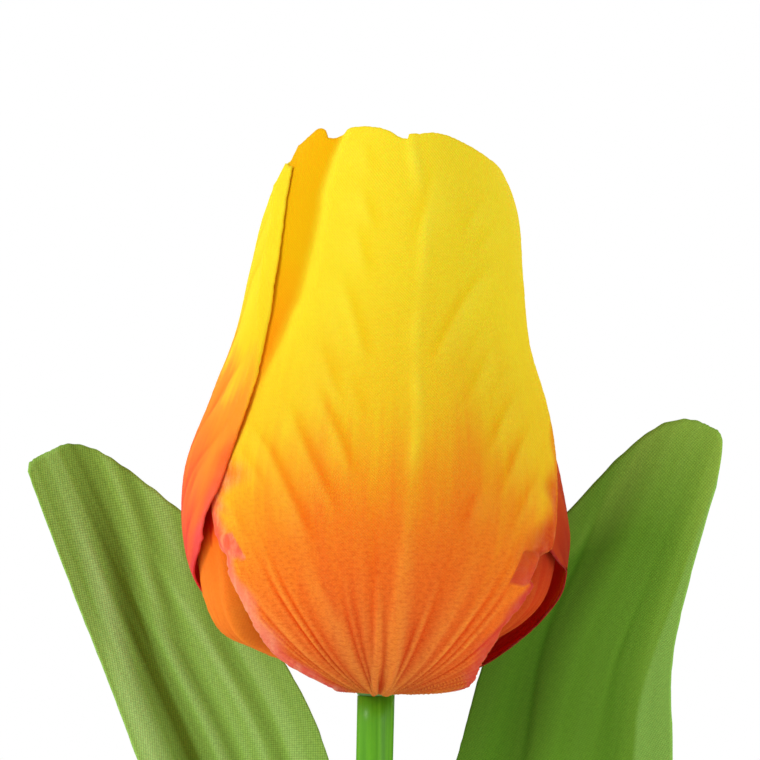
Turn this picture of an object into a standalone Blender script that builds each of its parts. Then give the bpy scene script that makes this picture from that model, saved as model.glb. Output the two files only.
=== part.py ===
"""A fabric tulip standing in a plain bud vase.

The flower is the silk-flower kind: a wire-cored plastic stem, a plastic receptacle on its top end,
six stiffened fabric petals in two layers round a moulded cluster of stamens, and two fabric leaves
whose bases clasp the stem. It stands in a slender glazed vase, with its foot on the vase's floor and
its stem leaning on the neck.

Frame: +Z up, origin at the centre of the vase's flat foot, -Y is the side the flower shows best.
Lists of stations are in millimetres and degrees and are read at even shares of a length.
"""

import math

import bmesh
import bpy
from mathutils import Matrix, Vector

MM = 0.001
CLEARANCE = 0.3  # mm, kept between pieces that touch on the real flower

# The vase: radius and height, outside from the foot to the lip and inside from the lip to the floor
VASE_FLOOR = 8.0
VASE_SIDES = 40
VASE_OUTSIDE = [
    (26.0, 0.0), (27.3, 1.4), (31.6, 13.0), (35.0, 29.0), (36.0, 45.0), (33.9, 61.0), (28.2, 78.0),
    (20.6, 95.0), (14.0, 111.0), (10.4, 126.0), (9.1, 140.0), (9.9, 150.0), (13.6, 158.6),
]
VASE_INSIDE = [
    (12.6, 159.5), (7.9, 152.6), (6.0, 144.0), (6.6, 130.0), (10.0, 114.0), (16.6, 97.0), (24.4, 80.0),
    (30.6, 62.0), (32.8, 45.0), (31.6, 29.0), (27.6, 15.0), (21.0, VASE_FLOOR),
]
VASE_OUTSIDE_RINGS = 22
VASE_INSIDE_RINGS = 18
LIP_CROWN = [(14.1, 159.5), (13.5, 160.0)]

# The stem: a tube over a wire, its foot off centre, leaning on the neck, then nearly upright
STEM_RADIUS = 2.12
STEM_BORE = 0.95
WIRE_RADIUS = 0.65
STEM_SIDES = 16
STEM_RINGS = 20
STEM_FOOT = (-6.0, 8.4)
NECK_STATION = 144.0
NECK_RADIUS = 6.0
NECK_GAP = 0.35
HEAD_HEIGHT = 283.0
STEM_SLOPE_AT_HEAD = 0.021

# The receptacle: a plug on the stem's end that carries the petals, with a peg down the stem's bore
PLUG_RADIUS = 2.3
PLUG_HEIGHT = 5.2
PLUG_CHAMFER = 0.6
PLUG_LEAD = 0.4
PEG_LENGTH = 8.0
PLUG_SIDES = 20

# The stamens: radius and height above the receptacle
PISTIL = [
    (0.0, 18.0), (1.2, 18.0), (2.2, 17.3), (2.1, 16.4), (1.3, 15.6), (1.5, 14.0), (1.7, 9.0), (1.4, 4.0),
    (1.2, 1.6), (2.0, 1.1), (2.0, 0.0), (0.0, 0.0),
]
STAMEN = [
    (0.0, 15.6), (0.45, 15.6), (0.9, 14.6), (1.0, 12.0), (0.95, 9.4), (0.4, 8.6), (0.42, 7.0), (0.45, 0.4),
    (0.0, 0.4),
]
STAMENS = 6
STAMEN_CIRCLE = 1.5
STAMEN_SPREAD = 14.0
STAMEN_SIDES = 8

# The petals: radius and height of the midline, then degrees of arc on either side of it
PETAL_THICKNESS = 0.6
PETAL_COLUMNS = 16
PETAL_ROWS = 14
HEAD_LEAN = 2.1
FRONT_MIDLINE = [
    (2.9, 0.6), (10.8, 1.2), (17.2, 4.6), (21.3, 10.9), (22.4, 18.4), (21.6, 26.1), (19.4, 33.6),
    (17.1, 41.1), (15.5, 48.7), (13.8, 56.4), (10.5, 64.2),
]
LEFT_MIDLINE = [
    (2.9, 0.6), (8.5, 2.6), (14.2, 5.9), (19.6, 10.6), (22.3, 17.8), (22.2, 25.8), (19.8, 33.4),
    (17.4, 41.0), (15.5, 48.6), (13.4, 56.2), (10.4, 62.4),
]
RIGHT_MIDLINE = [
    (2.9, 0.6), (8.5, 2.6), (14.0, 5.9), (19.0, 10.8), (21.7, 17.8), (20.9, 25.8), (18.0, 33.2),
    (15.9, 40.6), (14.4, 48.0), (12.8, 55.2), (10.2, 60.8),
]
INNER_MIDLINE = [
    (2.9, 1.9), (8.1, 4.2), (13.2, 7.4), (18.0, 11.9), (19.8, 18.2), (18.9, 25.8), (16.2, 33.2),
    (13.9, 40.6), (12.3, 48.0), (10.6, 55.2), (7.8, 61.4),
]
FRONT_LEFT_ARC = [50, 25, 39, 49, 61, 66, 64, 62, 60, 60, 60]
FRONT_RIGHT_ARC = [50, 60, 51, 53, 59, 62, 65, 64, 67, 71, 66]
BACK_ARC = [44, 32, 33, 37, 56, 61, 60, 58, 57, 56, 54]
LEFT_FRONT_ARC = [44, 32, 33, 37, 57, 64, 68, 71, 69, 63, 54]
INNER_ARC = [48, 40, 42, 48, 52, 52, 52, 52, 52, 52, 48]
MARGIN_LIFT = 0.55  # where an outer petal's margin lies over or under its neighbour's
MARGIN_FROM = 0.5
MARGIN_WIDTH = 0.4
MARGIN_ROOT = 0.25
MARGIN_RISE = 0.15
INNER_BULGE = 1.4  # where an inner petal shows between the feet of two outer ones
BULGE_HEIGHT = 12.0
BULGE_SPREAD = 3.8
BULGE_ARC = 11.0
RIBS = 4
RIB_DEPTH = 0.2
RIBS_START = 0.15
MIDRIB_DEPTH = 0.25
MIDRIB_WIDTH = 0.07
NOTCH_PLACE = 0.08
NOTCH_WIDTH = 0.16

# name, azimuth, midline; then for the side behind and the side ahead, going anticlockwise seen
# from above: arc, lift of the margin over (1) or under (-1) its neighbour, drop of the tip; curl, notch
PETALS = [
    (
        "petal_outer_front", -90, FRONT_MIDLINE, (FRONT_LEFT_ARC, FRONT_RIGHT_ARC), (-2, 1), (0.0, 0.105),
        1.0, 0.014,
    ),
    ("petal_outer_left", 150, LEFT_MIDLINE, (BACK_ARC, LEFT_FRONT_ARC), (1, 1), (0.16, 0.07), 1.0, 0.006),
    ("petal_outer_right", 30, RIGHT_MIDLINE, (BACK_ARC, BACK_ARC), (-1, -1), (0.14, 0.14), 1.0, 0.008),
    ("petal_inner_left", -150, INNER_MIDLINE, (INNER_ARC, INNER_ARC), (0, 0), (0.13, 0.13), 0.85, 0.006),
    ("petal_inner_right", -30, INNER_MIDLINE, (INNER_ARC, INNER_ARC), (0, 0), (0.15, 0.12), 0.85, 0.01),
    ("petal_inner_back", 90, INNER_MIDLINE, (INNER_ARC, INNER_ARC), (0, 0), (0.12, 0.15), 0.85, 0.004),
]

# The leaves: the midline across, back and up from the flower head's base, and the half width
LEAF_THICKNESS = 0.6
LEAF_COLUMNS = 12
LEAF_ROWS = 24
LEAF_LEFT_LINE = [
    (-6.7, 0.0, -115.0), (-7.6, 0.9, -100.0), (-9.1, 3.3, -85.0), (-10.7, 6.6, -70.0),
    (-11.9, 10.2, -55.0), (-13.2, 14.0, -40.0), (-14.8, 17.8, -25.2), (-17.5, 21.0, -10.9),
    (-22.6, 23.4, 2.7), (-29.0, 24.6, 15.6), (-35.1, 24.4, 28.8),
]
LEAF_RIGHT_LINE = [
    (-1.3, 0.0, -115.0), (0.8, 0.9, -100.0), (3.7, 2.7, -85.0), (7.0, 5.4, -70.0), (10.3, 8.4, -55.0),
    (13.8, 11.4, -40.0), (17.8, 14.2, -25.2), (21.7, 16.8, -10.8), (25.2, 19.0, 4.0),
    (29.7, 20.4, 17.8), (35.8, 20.8, 31.2),
]
LEAF_LEFT_TURN = [180, 176, 166, 154, 142, 131, 120, 109, 104, 102, 100]
LEAF_RIGHT_TURN = [0, 4, 14, 26, 38, 51, 65, 78, 82, 83, 84]
LEAF_HALF_WIDTH = [3.4, 4.6, 6.6, 8.6, 10.4, 11.6, 12.2, 12.0, 10.7, 9.0, 6.8]
LEAF_CUP = [72, 54, 40, 32, 27, 23, 20, 18, 16, 14, 12]
LEAF_RIDGES = 3
LEAF_RIDGE = 0.22
LEAF_RIDGES_START = 0.2
LEAF_OUTER_DROP = 0.006
LEAF_INNER_DROP = 0.09
LEAVES = [  # midline, compass turn of the back, the side of u that is away from the flower
    ("leaf_left", LEAF_LEFT_LINE, LEAF_LEFT_TURN, 1),
    ("leaf_right", LEAF_RIGHT_LINE, LEAF_RIGHT_TURN, -1),
]

GREEN_LEAF = (0.13, 0.30, 0.06)
GREEN_STEM = (0.10, 0.26, 0.05)
ORANGE = (0.95, 0.33, 0.02)
CREAM = (0.86, 0.84, 0.78)
PALE_GREEN = (0.62, 0.66, 0.25)
STEEL = (0.5, 0.5, 0.5)


def blend(before, start, end, after, f):
    """The smooth curve through four numbers, at share f from start to end."""
    line = 2 * start + (end - before) * f
    square = (2 * before - 5 * start + 4 * end - after) * f * f
    cube = (3 * start - before - 3 * end + after) * f ** 3
    return 0.5 * (line + square + cube)


def curve_at(stations, share):
    """A list of evenly spaced numbers or points, read as a smooth curve."""
    place = min(max(share, 0.0), 1.0) * (len(stations) - 1)
    i = min(int(place), len(stations) - 2)
    last = len(stations) - 1
    four = [stations[min(max(k, 0), last)] for k in (i - 1, i, i + 1, i + 2)]
    if isinstance(four[0], tuple):
        return tuple(blend(*numbers, place - i) for numbers in zip(*four))
    return blend(*four, place - i)


def smooth(x):
    x = min(max(x, 0.0), 1.0)
    return x * x * (3 - 2 * x)


def material(name, colour, roughness, metallic=0.0):
    made = bpy.data.materials.new(name)
    made.use_nodes = True
    shader = made.node_tree.nodes["Principled BSDF"]
    shader.inputs["Base Color"].default_value = (*colour, 1.0)
    shader.inputs["Roughness"].default_value = roughness
    shader.inputs["Metallic"].default_value = metallic
    return made


def add_object(name, data, surface):
    data.materials.append(surface)
    made = bpy.data.objects.new(name, data)
    bpy.context.scene.collection.objects.link(made)
    return made


def mesh_of(name, bm):
    for face in bm.faces:
        face.smooth = True
    mesh = bpy.data.meshes.new(name)
    bm.to_mesh(mesh)
    bm.free()
    return mesh


def turned(name, profile, sides, surface):
    """A profile of (radius, height), down its outer side, turned about the axis that both ends lie on."""
    bm = bmesh.new()
    line = [bm.verts.new((radius * MM, 0.0, height * MM)) for radius, height in profile]
    for start, end in zip(line, line[1:]):
        bm.edges.new((start, end))
    made = add_object(name, mesh_of(name, bm), surface)
    screw = made.modifiers.new("turn", "SCREW")
    screw.steps = sides
    screw.render_steps = sides
    screw.use_merge_vertices = True
    screw.merge_threshold = 1e-6
    screw.use_smooth_shade = True
    return made


def sheet(name, surface_point, columns, rows, thickness, surface):
    """A blade of even thickness about surface_point(u, t), u from -1 to 1 and t from 0 to 1.

    It is split into triangles before it gets its thickness, so both faces have the same ones.
    """
    bm = bmesh.new()
    bmesh.ops.create_grid(bm, x_segments=columns, y_segments=rows, size=1.0)
    for vertex in bm.verts:
        vertex.co = surface_point(vertex.co.x, (vertex.co.y + 1) / 2) * MM
    bmesh.ops.triangulate(bm, faces=bm.faces)
    made = add_object(name, mesh_of(name, bm), surface)
    solidify = made.modifiers.new("thickness", "SOLIDIFY")
    solidify.thickness = thickness * MM
    solidify.offset = 0.0
    solidify.use_even_offset = True
    return made


def stem_curve():
    """The bow of the stem: its slope at the foot and its bend, from the foot, the neck and the head."""
    to_neck = NECK_STATION - STEM_FOOT[1]
    to_head = HEAD_HEIGHT - STEM_FOOT[1]
    shift = NECK_RADIUS - NECK_GAP - STEM_RADIUS - STEM_FOOT[0]
    bend = (shift - STEM_SLOPE_AT_HEAD * to_neck) / (to_neck ** 2 - 2 * to_head * to_neck)
    return STEM_SLOPE_AT_HEAD - 2 * bend * to_head, bend


STEM_SLOPE, STEM_BEND = stem_curve()


def stem_x(height):
    rise = height - STEM_FOOT[1]
    return STEM_FOOT[0] + STEM_SLOPE * rise + STEM_BEND * rise * rise


HEAD_BASE = Vector((stem_x(HEAD_HEIGHT), 0.0, HEAD_HEIGHT))


def make_vase(surface):
    """Up the inside from the middle of the floor, over the lip, and down the outside to the foot."""
    inside = [curve_at(VASE_INSIDE, k / VASE_INSIDE_RINGS) for k in range(VASE_INSIDE_RINGS + 1)]
    outside = [curve_at(VASE_OUTSIDE[1:], k / VASE_OUTSIDE_RINGS) for k in range(VASE_OUTSIDE_RINGS + 1)]
    profile = [(0.0, VASE_FLOOR), *reversed(inside), *reversed(LIP_CROWN), *reversed(outside)]
    turned("vase", [*profile, VASE_OUTSIDE[0], (0.0, 0.0)], VASE_SIDES, surface)


def make_stem(surface):
    """A grid rolled into a pipe about the stem's curve, with its wall inwards, open at both ends."""
    bm = bmesh.new()
    bmesh.ops.create_grid(bm, x_segments=STEM_SIDES, y_segments=STEM_RINGS, size=1.0)
    top = HEAD_HEIGHT - CLEARANCE
    for vertex in bm.verts:
        angle = math.pi * vertex.co.x
        height = STEM_FOOT[1] + (top - STEM_FOOT[1]) * (vertex.co.y + 1) / 2
        x = stem_x(height) + STEM_RADIUS * math.cos(angle)
        vertex.co = Vector((x, STEM_RADIUS * math.sin(angle), height)) * MM
    bmesh.ops.remove_doubles(bm, verts=bm.verts, dist=1e-6)
    made = add_object("stem", mesh_of("stem", bm), surface)
    wall = made.modifiers.new("wall", "SOLIDIFY")
    wall.thickness = (STEM_RADIUS - STEM_BORE) * MM
    wall.offset = -1.0


def make_wire(surface):
    start = STEM_FOOT[1] + CLEARANCE
    end = HEAD_HEIGHT - PEG_LENGTH - 2 * CLEARANCE
    curve = bpy.data.curves.new("stem_wire", "CURVE")
    curve.dimensions = "3D"
    curve.bevel_depth = WIRE_RADIUS * MM
    curve.bevel_resolution = 2
    curve.use_fill_caps = True
    spline = curve.splines.new("POLY")
    spline.points.add(STEM_RINGS)
    for k, point in enumerate(spline.points):
        height = start + (end - start) * k / STEM_RINGS
        point.co = (stem_x(height) * MM, 0.0, height * MM, 1.0)
    add_object("stem_wire", curve, surface)


def make_receptacle(surface):
    profile = [
        (0.0, PLUG_HEIGHT),
        (PLUG_RADIUS - PLUG_CHAMFER, PLUG_HEIGHT),
        (PLUG_RADIUS, PLUG_HEIGHT - PLUG_CHAMFER),
        (PLUG_RADIUS, PLUG_LEAD),
        (STEM_RADIUS, 0.0),
        (WIRE_RADIUS, 0.0),
        (WIRE_RADIUS, -PEG_LENGTH),
        (0.0, -PEG_LENGTH),
    ]
    made = turned("receptacle", profile, PLUG_SIDES, surface)
    made.location = HEAD_BASE * MM
    made.rotation_euler.y = math.atan(STEM_SLOPE_AT_HEAD)


def make_stamens(surface, head):
    """The pistil with its stamens, moulded as one."""
    body = turned("stamen_cluster", PISTIL, 2 * STAMEN_SIDES, surface)
    body.parent = head
    body.location.z = (PLUG_HEIGHT + CLEARANCE) * MM
    for k in range(STAMENS):
        turn = 2 * math.pi * (k + 0.5) / STAMENS
        stamen = turned(f"stamen_{k + 1}", STAMEN, STAMEN_SIDES, surface)
        stamen.parent = body
        stamen.location = Vector((math.cos(turn), math.sin(turn), 0.0)) * STAMEN_CIRCLE * MM
        stamen.rotation_euler = (0.0, math.radians(STAMEN_SPREAD), turn)
        stamen.hide_render = True
        stamen.display_type = "WIRE"
        join = body.modifiers.new(f"stamen {k + 1}", "BOOLEAN")
        join.operation = "UNION"
        join.solver = "EXACT"
        join.object = stamen


def petal_surface(azimuth, midline, arcs, lifts, drops, curl, notch):
    """The middle of a petal's thickness at (u, t), u running anticlockwise seen from above."""
    turn = Matrix.Rotation(math.radians(azimuth), 3, "Z")

    def point(u, t):
        side = 0 if u < 0 else 1
        drop = drops[side] * abs(u) ** 2.6 + notch * math.exp(-((u - NOTCH_PLACE) / NOTCH_WIDTH) ** 2)
        share = t * (1 - drop)
        radius, height = curve_at(midline, share)
        arc = curve_at(arcs[side], share)
        rooted = smooth(share / RIBS_START)
        relief = -RIB_DEPTH * math.cos(2 * math.pi * RIBS * u) * (1 - u * u) * rooted
        relief -= MIDRIB_DEPTH * math.exp(-(u / MIDRIB_WIDTH) ** 2) * rooted
        margin = smooth((abs(u) - MARGIN_FROM) / MARGIN_WIDTH) * smooth((share - MARGIN_ROOT) / MARGIN_RISE)
        relief += MARGIN_LIFT * lifts[side] * margin
        if curl < 1:
            beside = (u * arc / BULGE_ARC) ** 2 + ((height - BULGE_HEIGHT) / BULGE_SPREAD) ** 2
            relief += INNER_BULGE * math.exp(-beside)
        own = curl * radius
        angle = math.radians(u * arc)
        reach = radius - own + (own + relief) * math.cos(angle)
        return turn @ Vector((reach, (own + relief) * math.sin(angle), height))

    return point


def leaf_surface(line, turns, outer_side):
    """The middle of a leaf's thickness at (u, t): it clasps the stem and opens out upwards."""

    def point(u, t):
        if u * outer_side > 0:
            drop = LEAF_OUTER_DROP * abs(u) ** 4
        else:
            drop = LEAF_INNER_DROP * abs(u) ** 1.7
        share = t * (1 - drop)
        centre = Vector(curve_at(line, share))
        ahead = Vector(curve_at(line, min(share + 0.01, 1.0)))
        behind = Vector(curve_at(line, max(share - 0.01, 0.0)))
        along = (ahead - behind).normalized()
        turn = math.radians(curve_at(turns, share))
        away = Vector((math.cos(turn), math.sin(turn), 0.0))
        away = (away - along * away.dot(along)).normalized()
        cup = math.radians(curve_at(LEAF_CUP, share))
        radius = curve_at(LEAF_HALF_WIDTH, share) / cup
        rooted = smooth(share / LEAF_RIDGES_START)
        ridge = LEAF_RIDGE * math.cos(2 * math.pi * LEAF_RIDGES * u) * (1 - u * u) * rooted
        spoke = away * math.cos(u * cup) + along.cross(away) * math.sin(u * cup)
        return centre - away * radius + spoke * (radius + ridge)

    return point


def main():
    for old in list(bpy.data.objects):
        bpy.data.objects.remove(old)

    glaze = material("glazed ceramic", CREAM, 0.2)
    plastic = material("green plastic", GREEN_STEM, 0.45)
    steel = material("steel wire", STEEL, 0.35, 1.0)
    pale = material("pale plastic", PALE_GREEN, 0.5)
    silk = material("orange fabric", ORANGE, 0.8)
    green = material("green fabric", GREEN_LEAF, 0.75)

    head = bpy.data.objects.new("flower_head", None)
    head.location = HEAD_BASE * MM
    head.rotation_euler.y = math.radians(HEAD_LEAN)
    bpy.context.scene.collection.objects.link(head)

    make_vase(glaze)
    make_stem(plastic)
    make_wire(steel)
    make_receptacle(plastic)
    make_stamens(pale, head)
    for name, *shape in PETALS:
        petal = sheet(name, petal_surface(*shape), PETAL_COLUMNS, PETAL_ROWS, PETAL_THICKNESS, silk)
        petal.parent = head
    for name, *shape in LEAVES:
        leaf = sheet(name, leaf_surface(*shape), LEAF_COLUMNS, LEAF_ROWS, LEAF_THICKNESS, green)
        leaf.location = HEAD_BASE * MM


main()
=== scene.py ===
import math
import random

import bmesh
import bpy
from mathutils import Matrix, Vector
from mathutils.bvhtree import BVHTree


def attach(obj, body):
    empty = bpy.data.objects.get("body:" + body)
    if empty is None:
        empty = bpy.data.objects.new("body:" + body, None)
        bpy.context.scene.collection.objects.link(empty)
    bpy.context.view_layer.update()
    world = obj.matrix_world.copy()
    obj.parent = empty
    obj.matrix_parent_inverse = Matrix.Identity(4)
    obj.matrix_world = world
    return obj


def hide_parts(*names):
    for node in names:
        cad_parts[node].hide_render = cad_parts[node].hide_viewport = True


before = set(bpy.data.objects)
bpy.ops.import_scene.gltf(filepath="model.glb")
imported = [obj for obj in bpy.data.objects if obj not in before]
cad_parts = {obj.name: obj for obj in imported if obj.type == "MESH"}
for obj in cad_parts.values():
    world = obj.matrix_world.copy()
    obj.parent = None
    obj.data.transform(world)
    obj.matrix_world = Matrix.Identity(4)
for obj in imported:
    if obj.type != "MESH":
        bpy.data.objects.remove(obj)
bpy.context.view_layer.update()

MM = 0.001

# The vase: radius and height in millimetres, outside from the foot up, inside from the lip down
VASE_FLOOR = 8
VASE_OUTSIDE = [
    (26, 0), (27.3, 1.4), (31.6, 13), (35, 29), (36, 45), (33.9, 61), (28.2, 78),
    (20.6, 95), (14, 111), (10.4, 126), (9.1, 140), (9.9, 150), (13.6, 158.6),
]
VASE_INSIDE = [
    (12.6, 159.5), (7.9, 152.6), (6, 144), (6.6, 130), (10, 114), (16.6, 97), (24.4, 80),
    (30.6, 62), (32.8, 45), (31.6, 29), (27.6, 15), (21, VASE_FLOOR),
]

# The stem and where the head sits on it
STEM_RADIUS = 2.12
STEM_BORE = 0.95
STEM_FOOT = (-6, 8.4)
NECK_STATION = 144
NECK_RADIUS = 6
NECK_GAP = 0.35
HEAD_HEIGHT = 283
STEM_SLOPE_AT_HEAD = 0.021
HEAD_LEAN = 2.1

# In millimetres, a pleat's step down towards the midrib, its painted shade's reach that way and its slope's
# reach outwards; in degrees, the channel at the foot and the spacing of the ribs beside it
PLEAT_STEP = 1.1
PLEAT_INSIDE = 2.4
PLEAT_OUTSIDE = 3.4
CHANNEL_ANGLE = 2.5
RIB_SPREAD = 21

# Heights and half widths in millimetres of the petals' finer forms, and how far their edges fray
RIB_HEIGHT = 0.115
BARB_HEIGHT = 0.012
CHANNEL = (0.26, 0.45)
TWIN_VEIN = (0.4, 0.38)
VEIN_WIDTH = 0.7
FRAY = 0.06

# Thickness of the cloth, and the flat length of a leaf
PETAL_CLOTH = 0.22
LEAF_CLOTH = 0.35
LEAF_LENGTH = 152

# The pistil and its stamens: radius and height in millimetres above their foot
STAMENS_FOOT = 5.5
PISTIL = [
    (2, 0), (2, 0.9), (1.3, 1.7), (1.3, 4), (1.6, 8), (1.65, 11), (1.45, 13.6), (1.25, 15.3),
    (2, 16.1), (2.25, 17), (1.7, 17.7), (0.9, 17.9),
]
STAMEN = [
    (0.5, 0.4), (0.46, 2.6), (0.42, 5), (0.4, 7.6), (0.5, 8.8), (0.95, 9.6), (1.04, 11.2), (1.02, 12.8),
    (0.9, 14.4), (0.4, 15.5),
]
STAMENS = 6
STAMEN_CIRCLE = 1.5
STAMEN_SPREAD = 14

# Petal midlines, radius and height above the head's base at every tenth of the length
FRONT_MIDLINE = [
    (2.9, 0.6), (10.8, 1.2), (17.2, 4.6), (21.3, 10.9), (22.4, 18.4), (21.6, 26.1), (19.4, 33.6),
    (17.1, 41.1), (15.6, 48.7), (13.8, 56.4), (10.3, 64.6),
]
LEFT_MIDLINE = [
    (2.9, 0.6), (8.5, 2.6), (14.4, 5.7), (20.2, 10.4), (22.6, 17.4), (22.7, 25.4), (20.1, 33.2),
    (17.5, 41), (16, 48.6), (14.2, 56.4), (11.5, 62.6),
]
RIGHT_MIDLINE = [
    (2.9, 0.6), (9, 2.4), (15.3, 5.9), (20.1, 10.9), (21.4, 18), (20.1, 25.8), (17.8, 33.2),
    (15.9, 40.6), (14.4, 48), (12.8, 55.2), (10.2, 60.8),
]
INNER_MIDLINE = [
    (2.9, 1.9), (8.1, 4.2), (13.2, 7.4), (18, 11.9), (19.8, 18.2), (18.9, 25.8), (16.2, 33.2),
    (13.9, 40.6), (12.3, 48), (10.6, 55.2), (7.8, 61.4),
]

# Half of each petal's sweep round the head, in degrees, at the same places
FRONT_LEFT_ARC = [50, 27, 41, 46.5, 57, 62, 64, 65, 66, 72, 80]
FRONT_RIGHT_ARC = [50, 57, 42, 46.5, 57.5, 63, 66, 65, 68, 78, 68]
LEFT_FRONT_ARC = [44, 22, 12, 24, 58.5, 66.5, 69, 69, 68, 62.5, 46]
RIGHT_FRONT_ARC = [44, 30, 24, 22, 57, 60, 60, 58, 57, 56, 54]
BACK_ARC = [44, 32, 33, 37, 56, 61, 60, 58, 57, 56, 54]
INNER_ARC = [48, 50, 54, 55, 55, 53, 52, 52, 52, 52, 48]

# How far each petal's tip falls short across its width, as (place across, share of the length)
FRONT_TOP = [
    (-1, 0.033), (-0.875, 0.021), (-0.8, 0.009), (-0.74, 0.002), (-0.68, 0.004), (-0.6, 0.02),
    (-0.55, 0.021), (-0.45, 0.014), (-0.41, 0.0045), (-0.32, 0.002), (-0.256, 0), (-0.136, 0.003),
    (-0.044, 0.011), (0.032, 0.0205), (0.092, 0.0227), (0.108, 0.0145), (0.21, 0.0125), (0.326, 0.009),
    (0.43, 0.0114), (0.63, 0.025), (0.842, 0.044), (0.965, 0.056), (1, 0.075),
]
LEFT_TOP = [
    (-1, 0.16), (-0.7, 0.06), (-0.3, 0.01), (0, 0.014), (0.25, 0.032), (0.5, 0.044), (0.65, 0.045),
    (0.8, 0.044), (1, 0.05),
]
RIGHT_TOP = [(-1, 0.14), (-0.7, 0.055), (-0.3, 0.01), (0, 0.004), (0.3, 0.008), (0.7, 0.05), (1, 0.14)]
INNER_TOP = [(-1, 0.14), (-0.6, 0.035), (-0.2, 0), (0.02, 0.006), (0.3, 0.002), (0.7, 0.05), (1, 0.15)]

# How far the margins stand off the head, behind and ahead, as (share of the length, millimetres)
FRONT_LIFT = ([(0, 0), (1, 0)], [(0.25, 0), (0.4, 0.35), (0.9, 0.35), (1, 0.1)])
LEFT_LIFT = (
    [(0.25, 0), (0.4, 0.5), (1, 0.5)],
    [(0.3, 0), (0.42, 0), (0.5, -0.4), (0.6, -0.4), (0.66, -0.15), (0.72, 0.25), (0.76, 0.4), (0.8, 0.3),
     (0.85, 0.15), (0.9, 0.05), (0.96, -0.05), (1, -0.2)],
)
RIGHT_LIFT = (
    [(0.08, 0), (0.2, 0.1), (0.3, 0.1), (0.36, 0), (0.4, -0.4), (1, -0.5)],
    [(0.25, 0), (0.4, -0.5), (1, -0.5)],
)
INNER_LEVEL = [(0, 0), (1, 0)]
INNER_FRONT_LIFT = [(0, 0), (0.1, 2), (0.2, 3.4), (0.3, 2.2), (0.4, 1), (0.5, 0.4), (0.6, 0)]

# The left petal over the front one, in millimetres: the gap kept, how far around a raised point the cloth
# rises with it, how far past a margin it keeps clear, and how far off the rays that find the gap start
LEFT_GAP = 0.29
LEFT_EASING = 0.12
PAST_MARGIN = 0.5
RAY_START = 5

# Where a petal's midrib runs, in degrees round at each share of the length
MIDRIB = [
    (0.1, 6), (0.2, 5), (0.31, 5.6), (0.4, 6.8), (0.49, 7.8), (0.6, 10), (0.68, 9.5), (0.77, 12),
    (0.83, 13.4), (0.87, 13.8), (0.92, 11.4), (0.96, 9.2), (1, 8.6),
]
STRAIGHT_MIDRIB = [(0, 2.5), (1, 2.5)]

# The front petal's pleats: height in millimetres, then the crest as (share of the length, degrees round)
FRONT_PLEATS = [
    (0.3, [(0.915, -12.2), (0.947, -17.8), (0.985, -22.5)]),
    (0.24, [(0.84, -10.4), (0.897, -15.6), (0.93, -19.1)]),
    (0.15, [(0.765, -11.3), (0.824, -15.1), (0.885, -19.6)]),
    (0.15, [(0.645, -9.6), (0.699, -13.3), (0.743, -17.6), (0.805, -23.6)]),
    (0.1, [(0.665, -17.5), (0.705, -21), (0.755, -24.9)]),
    (0.13, [(0.57, -15), (0.598, -17.3), (0.648, -23.1), (0.705, -29.4)]),
    (0.14, [(0.56, -8.9), (0.602, -11.9), (0.655, -15.6)]),
    (0.15, [(0.47, -10.5), (0.528, -14.3), (0.565, -18.6), (0.6, -23.3), (0.65, -29.4)]),
    (0.15, [(0.425, -14.9), (0.476, -19.4), (0.52, -25), (0.563, -31.1), (0.61, -36.5)]),
    (0.15, [(0.375, -21.4), (0.431, -25.8), (0.477, -31.8), (0.523, -39.1), (0.575, -51.2)]),
    (0.14, [(0.45, -37.6), (0.504, -45.4), (0.54, -54.6)]),
    (0.1, [(0.375, -43.8), (0.428, -48.9), (0.47, -55.6)]),
    (0.15, [(0.82, 13), (0.864, 14.9), (0.914, 19.3), (0.96, 24.9)]),
    (0.3, [(0.845, 34.1), (0.881, 40.5), (0.915, 49.6)]),
    (0.3, [(0.815, 39.6), (0.847, 46.4), (0.88, 54.1)]),
    (0.15, [(0.645, 17), (0.692, 22), (0.721, 26.2), (0.751, 31.2), (0.783, 38.7), (0.83, 49.4)]),
    (0.13, [(0.655, 30.2), (0.698, 36.4), (0.735, 40.7)]),
    (0.13, [(0.59, 28), (0.631, 33.5), (0.669, 39.2), (0.705, 45.5)]),
    (0.13, [(0.6, 39.1), (0.639, 44.9), (0.68, 51.9)]),
    (0.14, [(0.515, 33.9), (0.559, 39), (0.601, 45.7), (0.64, 53)]),
    (0.14, [(0.455, 37.4), (0.489, 40.1), (0.536, 46.5), (0.59, 54.8)]),
    (0.14, [(0.41, 41.8), (0.463, 47), (0.515, 54)]),
    (0.12, [(0.4, 25.1), (0.451, 28), (0.5, 31.8)]),
]

# The crease along the front petal's left side, in degrees, and the strip past it: degrees and millimetres
CREASE = [
    (0.45, 64), (0.5, 58), (0.55, 52.5), (0.61, 51), (0.65, 48.5), (0.7, 45), (0.725, 43.5), (0.755, 40.5),
    (0.8, 38.8), (0.845, 37.5), (0.88, 37.3), (0.91, 38.8), (0.945, 38.6), (1, 36.4),
]
CREASE_DEPTH = 0.55
CREASE_START = 0.46
STRIP_WIDTH = [
    (0.5, 3), (0.55, 6), (0.6, 5), (0.65, 6), (0.7, 9), (0.75, 16), (0.8, 20), (0.9, 26), (0.94, 44),
    (1, 46),
]
STRIP_LIFT = [
    (0.5, 0), (0.6, 0.25), (0.7, 0.5), (0.8, 0.65), (0.85, 0.55), (0.9, 0.42), (0.95, 0.2), (1, 0.05),
]

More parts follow.
